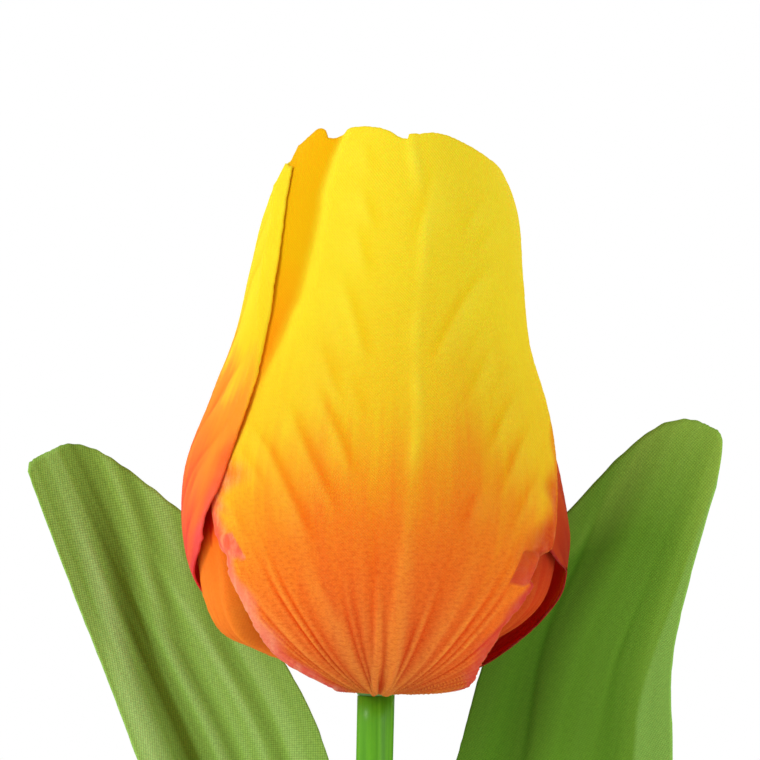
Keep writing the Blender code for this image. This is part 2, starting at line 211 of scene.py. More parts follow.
# Nicks in the margins, 0 behind and 1 ahead: degrees cut away at each share of the length
FRONT_BITES = [
    (1, [(0.24, 0), (0.262, 1.2), (0.28, 1.8), (0.3, 0.5), (0.336, 0.2), (0.345, 1.8), (0.365, 2.6),
         (0.384, 3.2), (0.392, 0)]),
    (0, [(0.33, 0), (0.35, 1.5), (0.368, 2.6), (0.375, 0)]),
]
LEFT_BITES = [
    (1, [(0.385, 0), (0.392, 1.6), (0.398, 0.6), (0.41, 2.4), (0.43, 3.4), (0.45, 2.6), (0.47, 1),
         (0.49, 0)]),
]
RIGHT_BITES = [(0, [(0.33, 0), (0.35, 8), (0.36, 11), (0.366, 6), (0.374, 1), (0.4, 0)])]
NICK_POWER = 12

# Tinted stretches of the margins, 0 behind and 1 ahead: from and to as shares of the length, and width
FRONT_RIMS = [
    (0, 0.05, 0.47, 3), (0, 0.42, 0.49, 6), (1, 0.05, 0.4, 2.4), (1, 0.34, 0.42, 6),
    (1, 0.34, 0.48, 3.2), (1, 0.34, 0.56, 1.2), (0, 0.97, 1.2, 0.5),
]
LEFT_RIMS = [(1, 0.3, 0.52, 2.8), (0, 0.05, 0.4, 1)]
RIGHT_RIMS = [(0, 0.05, 0.42, 0.8), (1, 0.05, 0.4, 1)]

# The torn scraps: a side is (degrees, degrees a length, at this share), a top (share, bend, at these degrees)
RIGHT_TEAR_NEAR = (39.5, 95, 0.342)
RIGHT_TEAR_FAR = (48.8, 80, 0.345)
RIGHT_TEAR_TOP = (0.393, -0.00012, 48.5)
RIGHT_TEAR_FOOT = 0.34
LEFT_TEAR_NEAR = (-42, -170, 0.365)
LEFT_TEAR_TOP = (0.4, 0.0006, -50)
LEFT_TEAR_FOOT = 0.362
LEFT_TEAR_WIDTH = 9

# How far the inner petals' bellies swell at each share of the length
SWELL_LEFT = [
    (0, 0), (0.1, 1.2), (0.2, 2.7), (0.25, 3.6), (0.3, 2.7), (0.35, 1.9), (0.45, 1.8), (0.6, 0),
]
SWELL_RIGHT = [
    (0, 0), (0.1, 0.2), (0.2, 0.5), (0.25, 0.8), (0.3, 0.9), (0.35, 0.7), (0.4, 0.4), (0.5, 0),
]

# How far the leaves cup, in degrees at every tenth of their length
LEAF_CUP = [72, 54, 40, 32, 27, 23, 20, 18, 16, 14, 12]

# Each leaf: its midline from the head's base; the way it faces, in degrees; half its width near the flower
# and on the far side; how far its end falls short at each edge, as (share of the length, power across); the
# height of its pressed-in ridges, from the far edge to the near one; narrow creases, as (place across,
# slant, depth, share of the length where it ends); how far the ridges lean at its end, as a share of the
# width; the height of the fine ribs between them; whether its far edge has a lighter margin strip; which side
# is the far one
LEAF_LEFT = {
    "line": [
        (-6.7, 0, -115), (-7.6, 0.9, -100), (-9.1, 3.3, -85), (-10.7, 6.6, -70),
        (-11.4, 10.2, -55), (-12.8, 14, -40), (-14.5, 17.8, -25.2), (-17.5, 21, -10.9),
        (-23.1, 23.4, 1), (-30.2, 24.6, 13.4), (-37.5, 24.4, 28.4),
    ],
    "turns": [180, 176, 166, 154, 142, 131, 120, 109, 104, 102, 100],
    "widths": (
        [3.4, 4.6, 6.6, 8.6, 11, 11.7, 12.1, 12.1, 11.2, 10.2, 9.7],
        [3.4, 4.6, 6.6, 8.6, 11.2, 11.4, 11.3, 10.5, 8.9, 6.7, 5],
    ),
    "drops": ((0.089, 1.44), (0.011, 10.2)),
    "ridges": [
        0, 0.18, 0.28, 0.02, -0.34, -0.4, -0.16, 0.12, -0.16, 0.08, 0.15, -0.08, 0.1, 0.05, 0,
    ],
    "creases": [(0.38, 0, 0.08, 0.88)],
    "lean": 0.22, "fine": 0.04, "turned": 0, "outer_side": 1, "seed": 71,
}
LEAF_RIGHT = {
    "line": [
        (-1.3, 0, -115), (0.8, 0.9, -100), (3.7, 2.7, -85), (7, 5.4, -70), (10.2, 8.4, -55),
        (13.8, 11.4, -40), (18, 14.2, -25.2), (22.1, 16.8, -10.8), (25.4, 19, 2.8),
        (30.9, 20.4, 14.7), (38.4, 20.8, 31.2),
    ],
    "turns": [0, 4, 14, 26, 38, 51, 65, 78, 82, 83, 84],
    "widths": (
        [3.4, 4.6, 6.6, 8.6, 11.1, 12.1, 12.8, 12.8, 12, 10.7, 11.4],
        [3.4, 4.6, 6.6, 8.6, 11.8, 13, 13.8, 13.2, 10.1, 6.8, 4.1],
    ),
    "drops": ((0.101, 1.68), (0.04, 6.5)),
    "ridges": [
        0, 0.06, 0.03, 0.06, 0, -0.04, 0.04, 0.05, 0.05, 0.04, -0.04, -0.14, -0.02, 0.04, 0,
    ],
    "creases": [(0.795, 0.5, 0.22, 0.9), (0.36, -0.3, 0.08, 0.82)],
    "lean": 0, "fine": 0.012, "turned": 1, "outer_side": -1, "seed": 83,
}


def blend(before, start, end, after, f):
    """A smooth curve from start to end, which takes its slopes from the values on either side."""
    line = 2 * start + (end - before) * f
    square = (2 * before - 5 * start + 4 * end - after) * f * f
    cube = (3 * start - before - 3 * end + after) * f ** 3
    return 0.5 * (line + square + cube)


def curve_at(stations, share):
    """A smooth line through evenly spaced numbers or tuples of them."""
    place = kept(share) * (len(stations) - 1)
    i = min(int(place), len(stations) - 2)
    last = len(stations) - 1
    four = [stations[min(max(k, 0), last)] for k in (i - 1, i, i + 1, i + 2)]
    if isinstance(four[0], tuple):
        return tuple(blend(*numbers, place - i) for numbers in zip(*four))
    return blend(*four, place - i)


def table_at(table, x):
    """A smooth line through (place, value) pairs, level where the values turn."""
    last = len(table) - 1
    if x <= table[0][0]:
        return table[0][1]
    if x >= table[last][0]:
        return table[last][1]
    i = next(k for k in range(last) if x <= table[k + 1][0])

    def step(k):
        return (table[k + 1][1] - table[k][1]) / (table[k + 1][0] - table[k][0])

    def lean(k):
        if k == 0 or k == last or step(k - 1) * step(k) <= 0:
            return 0
        return 2 * step(k - 1) * step(k) / (step(k - 1) + step(k))

    width = table[i + 1][0] - table[i][0]
    f = (x - table[i][0]) / width
    start = table[i][1] * (1 + 2 * f) * (1 - f) ** 2 + table[i + 1][1] * f * f * (3 - 2 * f)
    return start + width * f * (1 - f) * (lean(i) * (1 - f) - lean(i + 1) * f)


def kept(x):
    return min(max(x, 0), 1)


def smooth(x):
    x = kept(x)
    return x * x * (3 - 2 * x)


def onset(x, start, width):
    """From 0 at start to 1 a width later."""
    return smooth((x - start) / width)


def waver(seed, count=7):
    """A smooth irregular wave of about unit height, from sines of unlike lengths."""
    dice = random.Random(seed)
    terms = [(dice.uniform(0.6, 3.4), dice.uniform(0, 6.28)) for _ in range(count)]
    scale = 1 / math.sqrt(count / 2)
    return lambda x: scale * sum(math.sin(rate * x + phase) for rate, phase in terms)


def stem_curve():
    to_neck = NECK_STATION - STEM_FOOT[1]
    to_head = HEAD_HEIGHT - STEM_FOOT[1]
    shift = NECK_RADIUS - NECK_GAP - STEM_RADIUS - STEM_FOOT[0]
    bend = (shift - STEM_SLOPE_AT_HEAD * to_neck) / (to_neck ** 2 - 2 * to_head * to_neck)
    return STEM_SLOPE_AT_HEAD - 2 * bend * to_head, bend


STEM_SLOPE, STEM_BEND = stem_curve()


def stem_x(height):
    rise = height - STEM_FOOT[1]
    return STEM_FOOT[0] + STEM_SLOPE * rise + STEM_BEND * rise * rise


HEAD_BASE = Vector((stem_x(HEAD_HEIGHT), 0, HEAD_HEIGHT))


def rotation(degrees, axis):
    return Matrix.Rotation(math.radians(degrees), 4, axis)


TO_HEAD = Matrix.Translation(HEAD_BASE) @ rotation(HEAD_LEAN, "Y")


# Materials

def linear(red, green, blue):
    """A colour named by its 0 to 255 screen values, as the shaders need it."""
    def one(x):
        x /= 255
        return x / 12.92 if x <= 0.04045 else ((x + 0.055) / 1.055) ** 2.4
    return (one(red), one(green), one(blue), 1)


class Tree:
    """A material's nodes, made and linked in one call each."""

    def __init__(self, name):
        self.material = bpy.data.materials.new(name)
        self.material.use_nodes = True
        self.nodes = self.material.node_tree.nodes
        self.links = self.material.node_tree.links
        self.shader = self.nodes["Principled BSDF"]

    def put(self, socket, value):
        if hasattr(value, "is_linked"):
            self.links.new(value, socket)
        else:
            socket.default_value = value

    def set(self, **inputs):
        for name, value in inputs.items():
            self.put(self.shader.inputs[name.replace("_", " ")], value)

    def add(self, kind, inputs=(), output=0, **settings):
        node = self.nodes.new(kind)
        for name, value in settings.items():
            setattr(node, name, value)
        for key, value in dict(inputs).items():
            self.put(node.inputs[key], value)
        return node.outputs[output]

    def math(self, operation, a, b=0, c=0, clamp=False):
        return self.add("ShaderNodeMath", {0: a, 1: b, 2: c}, operation=operation, use_clamp=clamp)

    def times(self, a, b, plus=None):
        if plus is None:
            return self.math("MULTIPLY", a, b)
        return self.math("MULTIPLY_ADD", a, b, plus)

    def ramp(self, factor, stops):
        """Blends between stops of (place, colour or grey)."""
        node = self.nodes.new("ShaderNodeValToRGB")
        elements = node.color_ramp.elements
        while len(elements) < len(stops):
            elements.new(0.5)
        for element, (place, colour) in zip(elements, stops):
            element.position = place
            element.color = colour if hasattr(colour, "__len__") else (colour, colour, colour, 1)
        self.put(node.inputs["Fac"], factor)
        return node.outputs["Color"]

    def dye(self, factor, stops):
        """Blends between stops of (place, screen values)."""
        return self.ramp(factor, [(place, linear(*tone)) for place, tone in stops])

    def shade(self, factor, a, b):
        """a darkened by b."""
        return self.mix(factor, a, b, "MULTIPLY")

    def mix(self, factor, a, b, blend_type="MIX"):
        node = self.nodes.new("ShaderNodeMix")
        node.data_type = "RGBA"
        node.blend_type = blend_type
        self.put(node.inputs[0], factor)
        self.put(node.inputs[6], a)
        self.put(node.inputs[7], b)
        return node.outputs[2]

    def noise(self, vector, scale, detail=2, roughness=0.5):
        inputs = {"Vector": vector, "Scale": scale, "Detail": detail, "Roughness": roughness}
        return self.add("ShaderNodeTexNoise", inputs)

    def scaled(self, vector, scale, turn=0):
        inputs = {"Vector": vector, "Scale": scale, "Rotation": (0, 0, math.radians(turn))}
        return self.add("ShaderNodeMapping", inputs)

    def stretched(self, vector, scale, detail=2, roughness=0.5):
        return self.noise(self.scaled(vector, scale), 1, detail, roughness)

    def bump(self, height, distance, strength):
        inputs = {"Height": height, "Distance": distance, "Strength": strength}
        return self.add("ShaderNodeBump", inputs)

    def spot(self):
        """The point on the object, in metres."""
        return self.add("ShaderNodeTexCoord", output=3)

    def axis(self, vector, index):
        return self.add("ShaderNodeSeparateXYZ", {0: vector}, output=index)

    def uv(self, name):
        return self.add("ShaderNodeUVMap", uv_map=name)

    def attribute(self, name):
        return self.add("ShaderNodeAttribute", output=2, attribute_name=name)

    def weave(self, cloth, pitch):
        """Threads of a plain weave on a map in millimetres: 1 on a thread's crown, 0 between threads."""
        rate = 2 * math.pi / pitch
        across, along = (self.math("SINE", self.times(self.axis(cloth, k), rate)) for k in (0, 1))
        return self.times(self.times(across, along), 0.5, 0.5)


def petal_material(name, stops, rim, strip=None, streaks=1, far_rim=None, paler=1):
    """Dyed cloth: a gradient up the petal, drawn into streaks along its pleats, with a tinted rim. Painted
    shade deepens the colour at each pleat's foot and a painted highlight pales its crest; the rims carry
    painted cream highlights.
    The rims' tints run up the petal as (place, colour); paler is how far the painted highlights on crests and
    rims, and the specks, lighten."""
    tree = Tree(name)
    place = tree.uv("petal")
    cloth = tree.uv("cloth")
    u = tree.axis(place, 0)
    v = tree.axis(place, 1)
    relief_shade = tree.attribute("relief_shade")
    streak = tree.stretched(place, (22, 2.4, 1), 3, 0.6)
    broad = tree.stretched(place, (4, 3, 1), 2)
    shifted = tree.times(tree.math("SUBTRACT", streak, 0.5), 0.16 * streaks, v)
    shifted = tree.times(tree.math("SUBTRACT", broad, 0.5), 0.10 * streaks, shifted)
    # Painted shade: the gradient deepens towards each pleat's foot and pales on its crest
    shifted = tree.times(relief_shade, 0.05 * streaks, shifted)
    beside = tree.times(u, 2, -1.1)
    beside = tree.times(tree.times(beside, beside), tree.ramp(v, [(0.2, 0.3), (0.42, 1)]))
    shifted = tree.times(beside, 0.13 * streaks, shifted)
    colour = tree.dye(shifted, stops)
    # Painted highlight on the pleats' crests, painted shade at their feet
    crest = tree.ramp(tree.times(relief_shade, 0.7, 0.5), [(0, 0), (1, 1)])
    dark = tree.shade(1, colour, (0.93, 0.84, 0.6, 1))
    pale = tree.mix(tree.ramp(v, [(0.2, 0.26 * paler), (0.5, 0.16 * paler)]), colour, (1, 0.68, 0.13, 1))
    colour = tree.mix(crest, dark, pale)
    fibre = tree.stretched(cloth, (1.5, 2.8, 1), 4, 0.66)
    speck = tree.stretched(cloth, (5, 5, 1), 2, 0.6)
    low = tree.ramp(v, [(0.06, 1), (0.36, 0.8), (0.5, 0.18), (0.8, 0.1)])
    mottle = tree.ramp(fibre, [(0.34, (0.8, 0.52, 0.46, 1)), (0.56, 1)])
    colour = tree.shade(tree.times(low, 0.2 + 0.6 * paler), colour, mottle)
    bright = tree.times(tree.ramp(speck, [(0.52, 0), (0.7, 1)]), low)
    colour = tree.mix(tree.times(bright, 0.3 * paler), colour, linear(255, 168, 66))
    # The strip past the crease: a deeper gold, partly dye and partly painted shade where the left petal
    # shadows it
    if strip is not None:
        shaded_gold = tree.dye(v, [(0.42, (250, 72, 66)), (0.5, (255, 84, 20)), (0.58, (255, 110, 6)),
                            (0.67, (255, 144, 4)), (0.82, strip)])
        colour = tree.mix(tree.attribute("strip"), colour, shaded_gold)
    ragged = tree.times(tree.attribute("rim"), tree.ramp(fibre, [(0.3, 0.75), (0.6, 1)]))
    rims = tree.mix(tree.ramp(u, [(0.45, 0), (0.55, 1)]), tree.dye(v, rim), tree.dye(v, far_rim or rim))
    # Painted highlight: soft cream streaks along the rims, fainter on the far side
    sheen = tree.stretched(cloth, (0.9, 0.4, 1), 3, 0.6)
    cream_highlight = tree.times(tree.ramp(sheen, [(0.45, 0), (0.65, 0.34 * paler)]),
                       tree.ramp(u, [(0.45, 1), (0.55, 0.25)]))
    rims = tree.mix(cream_highlight, rims, linear(255, 190, 150))
    colour = tree.mix(tree.times(ragged, 0.9), colour, rims)
    threads = tree.weave(cloth, 0.34)
    colour = tree.shade(0.1, colour, tree.ramp(threads, [(0, 0.6), (0.6, 1)]))
    height = tree.times(fibre, 0.6, tree.times(threads, 0.5))
    tree.set(Base_Color=colour, Roughness=0.85, Specular_IOR_Level=0.06, Subsurface_Weight=0.35,
             Subsurface_Radius=(1, 0.35, 0.1), Subsurface_Scale=1.2 * MM,
             Normal=tree.bump(height, 0.06 * MM, 0.6))
    return tree.material


def leaf_material(name, deep, mid, light, margin, contrast, painted_shade_across):
    """Woven cloth; shades is painted shade across the leaf, as (place, share of full colour)."""
    tree = Tree(name)
    place = tree.uv("petal")
    cloth = tree.uv("cloth")
    dashes = tree.noise(tree.scaled(cloth, (2.2, 3.6, 1), 24), 1, 2, 0.7)
    threads = tree.weave(tree.scaled(cloth, (1, 1.2, 1), 28), 0.4)
    threads = tree.times(threads, 0.45, tree.times(dashes, 0.55))
    streak = tree.stretched(place, (7, 1, 1), 3, 0.55)
    # Painted shading of the ridges and creases: painted shade in the valleys, painted highlight on the crests
    relief_shade = tree.times(tree.attribute("relief_shade"), 0.7, 0.5)
    tone = tree.math("MULTIPLY_ADD", tree.math("SUBTRACT", streak, 0.5), 0.7, relief_shade, clamp=True)
    colour = tree.dye(tone, [(0.12, deep), (0.5, mid), (0.88, light)])
    across = tree.axis(place, 0)
    along = tree.axis(place, 1)
    # Painted shade across the leaf, eased towards the tip except on the side near the flower
    strength = tree.math("MAXIMUM", tree.ramp(along, [(0.92, 1), (1, 0.5)]),
                         tree.ramp(across, [(0.5, 0), (0.85, 0.9)]))
    colour = tree.shade(strength, colour, tree.ramp(across, painted_shade_across))
    colour = tree.mix(tree.times(tree.attribute("rim"), 0.75), colour, linear(*margin))
    fleck = tree.stretched(cloth, (1.6, 1.6, 1), 3, 0.7)
    colour = tree.shade(0.25, colour, tree.ramp(fleck, [(0.3, 0.7), (0.6, 1)]))
    gaps = tree.ramp(threads, [(0.3, 0.4), (0.5, 0.66), (0.68, 1)])
    colour = tree.shade(contrast, colour, gaps)
    tree.set(Base_Color=colour, Roughness=0.8, Specular_IOR_Level=0.08,
             Normal=tree.bump(threads, 0.08 * MM, 0.6))
    return tree.material


def stem_material():
    tree = Tree("stem plastic")
    where = tree.spot()
    streak = tree.stretched(where, (1500, 1500, 25), 3, 0.6)
    colour = tree.dye(streak, [(0.3, (72, 138, 16)), (0.55, (94, 164, 28)), (0.75, (114, 182, 44))])
    tree.set(Base_Color=colour, Roughness=0.36, Specular_IOR_Level=0.22,
             Normal=tree.bump(streak, 0.05 * MM, 0.35))
    return tree.material


def glaze_material():
    tree = Tree("vase glaze")
    where = tree.spot()
    cloud = tree.stretched(where, (40, 40, 60), 3, 0.5)
    speck = tree.noise(where, 900, 2, 0.6)
    colour = tree.dye(cloud, [(0.3, (226, 221, 208)), (0.7, (240, 237, 228))])
    specks = tree.ramp(speck, [(0.70, 0), (0.76, 1)])
    colour = tree.mix(tree.times(specks, 0.45), colour, linear(150, 128, 98))
    edge = tree.times(tree.math("SUBTRACT", cloud, 0.5), 0.002, tree.axis(where, 2))
    bare = tree.math("LESS_THAN", edge, 0.0016)
    grain = tree.noise(where, 2600, 3, 0.7)
    clay = tree.dye(grain, [(0.3, (190, 166, 136)), (0.7, (214, 194, 166))])
    colour = tree.mix(bare, colour, clay)
    rough = tree.times(bare, 0.62, 0.16)
    bumps = tree.times(grain, tree.times(bare, 0.6), cloud)
    tree.set(Base_Color=colour, Roughness=rough, Coat_Weight=0.3, Coat_Roughness=0.08,
             Normal=tree.bump(bumps, 0.12 * MM, 0.3))
    return tree.material


def steel_material():
    tree = Tree("wire steel")
    where = tree.spot()
    drawn = tree.stretched(where, (4000, 4000, 40), 2)
    colour = tree.ramp(drawn, [(0.3, 0.32), (0.7, 0.55)])
    tree.set(Base_Color=colour, Metallic=1, Roughness=0.38, Normal=tree.bump(drawn, 0.02 * MM, 0.3))
    return tree.material


def moulded_material(name, dark, light):
    tree = Tree(name)
    grain = tree.noise(tree.spot(), 900, 3, 0.6)
    colour = tree.dye(grain, [(0.3, dark), (0.7, light)])
    tree.set(Base_Color=colour, Roughness=0.5, Normal=tree.bump(grain, 0.06 * MM, 0.5))
    return tree.material


def stamen_material():
    """Pale green pistil and filaments, with the stamens' thick ends dusted dark."""
    tree = Tree("stamens moulded")
    grain = tree.noise(tree.spot(), 1400, 3, 0.7)
    pale = tree.dye(grain, [(0.3, (168, 176, 84)), (0.7, (206, 210, 120))])
    dark = tree.dye(grain, [(0.3, (34, 24, 30)), (0.62, (74, 48, 38)), (0.8, (150, 110, 40))])
    colour = tree.mix(tree.attribute("anther"), pale, dark)
    tree.set(Base_Color=colour, Roughness=0.66, Normal=tree.bump(grain, 0.12 * MM, 0.7))
    return tree.material


# Pieces

def link_mesh(name, bm, surface):
    mesh = bpy.data.meshes.new(name)
    bm.to_mesh(mesh)
    bm.free()
    mesh.materials.append(surface)
    made = bpy.data.objects.new(name, mesh)
    bpy.context.scene.collection.objects.link(made)
    return made


def finish_piece(name, bm, surface, replaced):
    for face in bm.faces:
        face.smooth = True
    made = link_mesh(name, bm, surface)
    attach(made, "root")
    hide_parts(*replaced)
    return made


def cloth_sheet(name, surface, columns, rows, thickness, skin, replaced, inner_face=None):
    """A grid shaped by surface(u, t), which gives a point, the painted shading of its relief, its rim
    and strip tints (the strip's partly painted shade) and its place on the flat cloth, in millimetres. The
    lining is its inner side's skin."""
    bm = bmesh.new()
    bmesh.ops.create_grid(bm, x_segments=columns, y_segments=rows, size=1)
    place = bm.loops.layers.uv.new("petal")
    cloth = bm.loops.layers.uv.new("cloth")
    relief_shade = bm.verts.layers.float.new("relief_shade")
    rim = bm.verts.layers.float.new("rim")
    strip = bm.verts.layers.float.new("strip")
    flat = {}
    for vertex in bm.verts:
        u, t = vertex.co.x, (vertex.co.y + 1) / 2
        point, relief, tint, turned, spot = surface(u, t)
        vertex.co = point * MM
        # The relief's painted shading, carried to the colour
        vertex[relief_shade] = relief
        vertex[rim] = tint
        vertex[strip] = turned
        flat[vertex] = ((u + 1) / 2, t, spot)
    for face in bm.faces:
        for loop in face.loops:
            across, along, spot = flat[loop.vert]
            loop[place].uv = (across, along)
            loop[cloth].uv = spot
    made = finish_piece(name, bm, skin, replaced)
    solidify = made.modifiers.new("thickness", "SOLIDIFY")
    solidify.thickness = thickness * MM
    solidify.offset = 0
    if inner_face is not None:
        made.data.materials.append(inner_face)
        solidify.material_offset = 1
    return made


def lay_over(piece, under, least, easing):
    """Moves a petal's points out from the head's axis, so that none is nearer than least to the petal
    under it; easing is how far around a raised point the cloth rises with it. Both in millimetres.
    A point just past the under petal's margin counts as over it, so that its rim stays under too."""
    tree = BVHTree.FromObject(under, bpy.context.evaluated_depsgraph_get())
    back = TO_HEAD.inverted()
    raised = {}
    for vertex in piece.data.vertices:
        local = back @ (vertex.co / MM)
        out = (TO_HEAD.to_3x3() @ Vector((local.x, local.y, 0))).normalized()
        aside = out.cross(TO_HEAD.to_3x3() @ Vector((0, 0, 1))) * PAST_MARGIN * MM
        starts = [vertex.co + out * RAY_START * MM + aside * share for share in (0, -1, 1)]
        hits = [tree.ray_cast(start, -out, 2 * RAY_START * MM)[3] for start in starts]
        hit = next((found for found in hits if found is not None), None)
        gap = least + easing if hit is None else hit / MM - RAY_START
        if gap < least + easing:
            rise = least - gap if gap < least - easing else (least + easing - gap) ** 2 / (4 * easing)
            raised[vertex.index] = out * rise * MM
    for index, move in raised.items():
        piece.data.vertices[index].co += move


def turned_piece(name, profile, sides, surface, replaced):
    """A profile of (radius, height) in millimetres, down its outer side, turned about its axis."""
    bm = bmesh.new()
    line = [bm.verts.new((radius * MM, 0, height * MM)) for radius, height in profile]
    edges = [bm.edges.new(pair) for pair in zip(line, line[1:])]
    bmesh.ops.spin(bm, geom=line + edges, cent=(0, 0, 0), axis=(0, 0, 1), angle=2 * math.pi,
                   steps=sides, use_merge=True, use_duplicate=False)
    bmesh.ops.remove_doubles(bm, verts=bm.verts, dist=1e-6)
    bmesh.ops.recalc_face_normals(bm, faces=bm.faces)
    return finish_piece(name, bm, surface, replaced)


def feather(seed, arcs, count=11):
    """Pleats for a petal that shows less: straight crests that climb outwards from near its midrib."""
    dice = random.Random(seed)
    pleats = []
    for side, arc in ((-1, arcs[0]), (1, arcs[1])):
        for k in range(count):
            top = 0.4 + 0.58 * (k + dice.uniform(0.2, 0.8)) / count
            reach = dice.uniform(0.12, 0.22)
            outer = curve_at(arc, top) * dice.uniform(0.8, 0.97)
            inner = max(outer - reach * dice.uniform(100, 140), 7)
            crest = [(top - reach, side * inner), (top - reach / 2, side * (0.6 * inner + 0.4 * outer)),
                     (top, side * outer)]
            pleats.append((dice.uniform(0.08, 0.2), crest))
    return pleats


class Petal:
    """One petal's form: where the point at u across (-1 to 1) and t along (0 to 1) lies. A worn petal
    has the crease, the strip past it and the tears."""

    def __init__(self, seed, azimuth, midline, arcs, top, lifts, curl=1, pleats=None, depth=1,
                 midrib=STRAIGHT_MIDRIB, bites=(), worn=False, swell=None, rims=()):
        self.turn = rotation(azimuth, "Z")
        self.midline, self.arcs, self.top, self.lifts, self.curl = midline, arcs, top, lifts, curl
        self.pleats, self.depth, self.midrib = pleats or feather(seed, arcs), depth, midrib
        self.bites, self.worn, self.swell, self.rims = bites, worn, swell, rims
        self.drift, self.sway, self.nibble, self.lap = (waver(seed + k) for k in range(4))
        self.length = sum(math.dist(midline[k], midline[k + 1]) for k in range(10))

    def relief(self, angle, share, radius, u):
        """Pleats: each rises slowly towards the midrib and drops off quickly past its crest. Below them,
        ribs spread from the foot, and a vein runs up the middle. The second number is their painted shading:
        painted highlight on crests, ribs and vein, painted shade in the channel and at each pleat's foot."""
        to_mm = math.radians(radius)
        upper = tone = 0
        for height, crest in self.pleats:
            start, end = crest[0][0], crest[-1][0]
            if start < share < end:
                line = table_at(crest, share)
                outward = (angle - line) * math.copysign(to_mm, line)
                if -PLEAT_INSIDE < outward < PLEAT_OUTSIDE:
                    ends = 0.6 * height * onset(share, start, 0.06) * smooth((end - share) / 0.07)
                    risen = smooth(1 + outward / PLEAT_STEP)
                    beyond = 1 - max(outward, 0) / PLEAT_OUTSIDE
                    before = 1 + min(outward + PLEAT_STEP, 0) / (PLEAT_INSIDE - PLEAT_STEP)
                    upper += ends * risen * beyond ** 1.4
                    # Painted shading: lit on the crest, painted shade at the foot of the step
                    tone += ends * (risen * beyond - (1 - risen) * before)
        rooted = smooth(share / 0.1)
        off = angle - CHANNEL_ANGLE
        spread = off / (RIB_SPREAD * max(share, 0.05))
        reach = 0.15 + 0.06 * self.sway(spread * 2.3)
        low = rooted * (1 - onset(share, 0.24, 0.14))
        foot = rooted * (1 - onset(share, 0.14, 0.14))
        fine = math.cos(2 * math.pi * (spread + 0.3 * self.drift(spread * 1.1 + 3)))
        ribs = RIB_HEIGHT * fine * rooted * (1 - onset(share, 0.25, reach))
        ribs *= onset(abs(spread), 0.25, 0.4)
        ribs *= min(max(0.8 + 0.5 * self.lap(spread * 2), 0.2), 1.4)
        barbs = math.sin(2 * math.pi * (60 * share - 0.6 * abs(off)) + 1.5 * self.sway(share * 9 + angle / 9))
        barbs *= BARB_HEIGHT * onset(share, 0.3, 0.1) * (1 - onset(share, 0.9, 0.08))
        centre = table_at(self.midrib, share)
        beside = (angle - centre) * to_mm
        vein = math.exp(-(beside / VEIN_WIDTH) ** 2)
        vein *= 0.11 + 0.3 * low + 0.05 * self.sway(share * 30)
        mirrored = (angle - 2 * CHANNEL_ANGLE + centre) * to_mm
        twin = TWIN_VEIN[0] * math.exp(-(mirrored / TWIN_VEIN[1]) ** 2) * low
        channel = -CHANNEL[0] * math.exp(-(off * to_mm / CHANNEL[1]) ** 2) * foot
        edge = 1 - abs(u) ** 8
        line = (vein + twin + channel) * rooted
        return self.depth * ((upper + ribs + barbs) * edge + line), 5.5 * tone + 5.5 * ribs + 3.6 * line

    def past_crease(self, angle, share, relief):
        """The front petal's left side dips to a crease, past which a strip stands up again."""
        past = -angle - table_at(CREASE, share)
        begun = onset(share, CREASE_START, 0.1)
        deep = CREASE_DEPTH * begun * (0.3 + 0.7 * onset(share, 0.6, 0.14))
        relief *= 1 - smooth(1 + past / 5) * begun
        # The strip's tint, partly painted shade
        tint = smooth(0.5 + past / 8) * onset(share, CREASE_START, 0.08)
        if past < 0:
            return relief, -deep * smooth(1 + past / 9), tint
        along = past / max(table_at(STRIP_WIDTH, share), 1)
        tucked = 0.9 * smooth((along - 1.05) / 0.5)
        return relief, (deep + table_at(STRIP_LIFT, share)) * min(along, 1.1) - deep - tucked, tint

    def torn(self, angle, share):
        """Two tears in the front petal's margins: the height of each scrap over the cloth, and its tint."""
        def side(degrees, slope, given):
            return degrees + slope * (share - given)

        def within(past_side, foot, top):
            return smooth(past_side / 0.8) * onset(share, foot, 0.004) * smooth((top - share) / 0.003)

        if 0.335 < share < 0.4 and angle > 36:
            near, far = side(*RIGHT_TEAR_NEAR), side(*RIGHT_TEAR_FAR)
            highest, bend, given = RIGHT_TEAR_TOP
            top = highest + bend * (angle - given) ** 2
            inside = within(angle - near, RIGHT_TEAR_FOOT, top)
            place = kept((angle - near) / (far - near))
            curled = math.sin(math.pi * place) ** 0.8 * smooth((top - share) / 0.014)
            # The scrap's tint: dusky dye, fainter on its near side, a painted highlight on its lit free edge
            return inside * (1.1 * curled - 0.5), inside * (0.7 + 0.3 * place)
        if 0.35 < share < 0.408 and angle < -40:
            near = side(*LEFT_TEAR_NEAR)
            highest, slope, given = LEFT_TEAR_TOP
            inside = within(near - angle, LEFT_TEAR_FOOT, highest + slope * (angle - given))
            place = kept((near - angle) / LEFT_TEAR_WIDTH)
            return inside * (0.5 * math.sin(math.pi * place) - 0.2), 0.9 * inside
        return 0, 0

    def __call__(self, u, t):
        side = 0 if u < 0 else 1
        share = max(t * (1 - table_at(self.top, u)) - 0.0003 * t ** 30 * (1 + self.nibble(u * 60)), 0)
        radius, height = curve_at(self.midline, share)
        ahead = curve_at(self.midline, min(share + 0.004, 1))
        behind = curve_at(self.midline, max(share - 0.004, 0))
        slope = Vector((ahead[0] - behind[0], ahead[1] - behind[1])).normalized()
        arc = curve_at(self.arcs[side], share)
        bite = sum(table_at(rows, share) for where, rows in self.bites if where == side)
        ragged = FRAY * self.nibble(share * 190 + 50 * side) * smooth(share / 0.1)
        if share < 0.36:
            ragged *= 2.5
        bite += math.degrees(ragged / max(radius, 4))
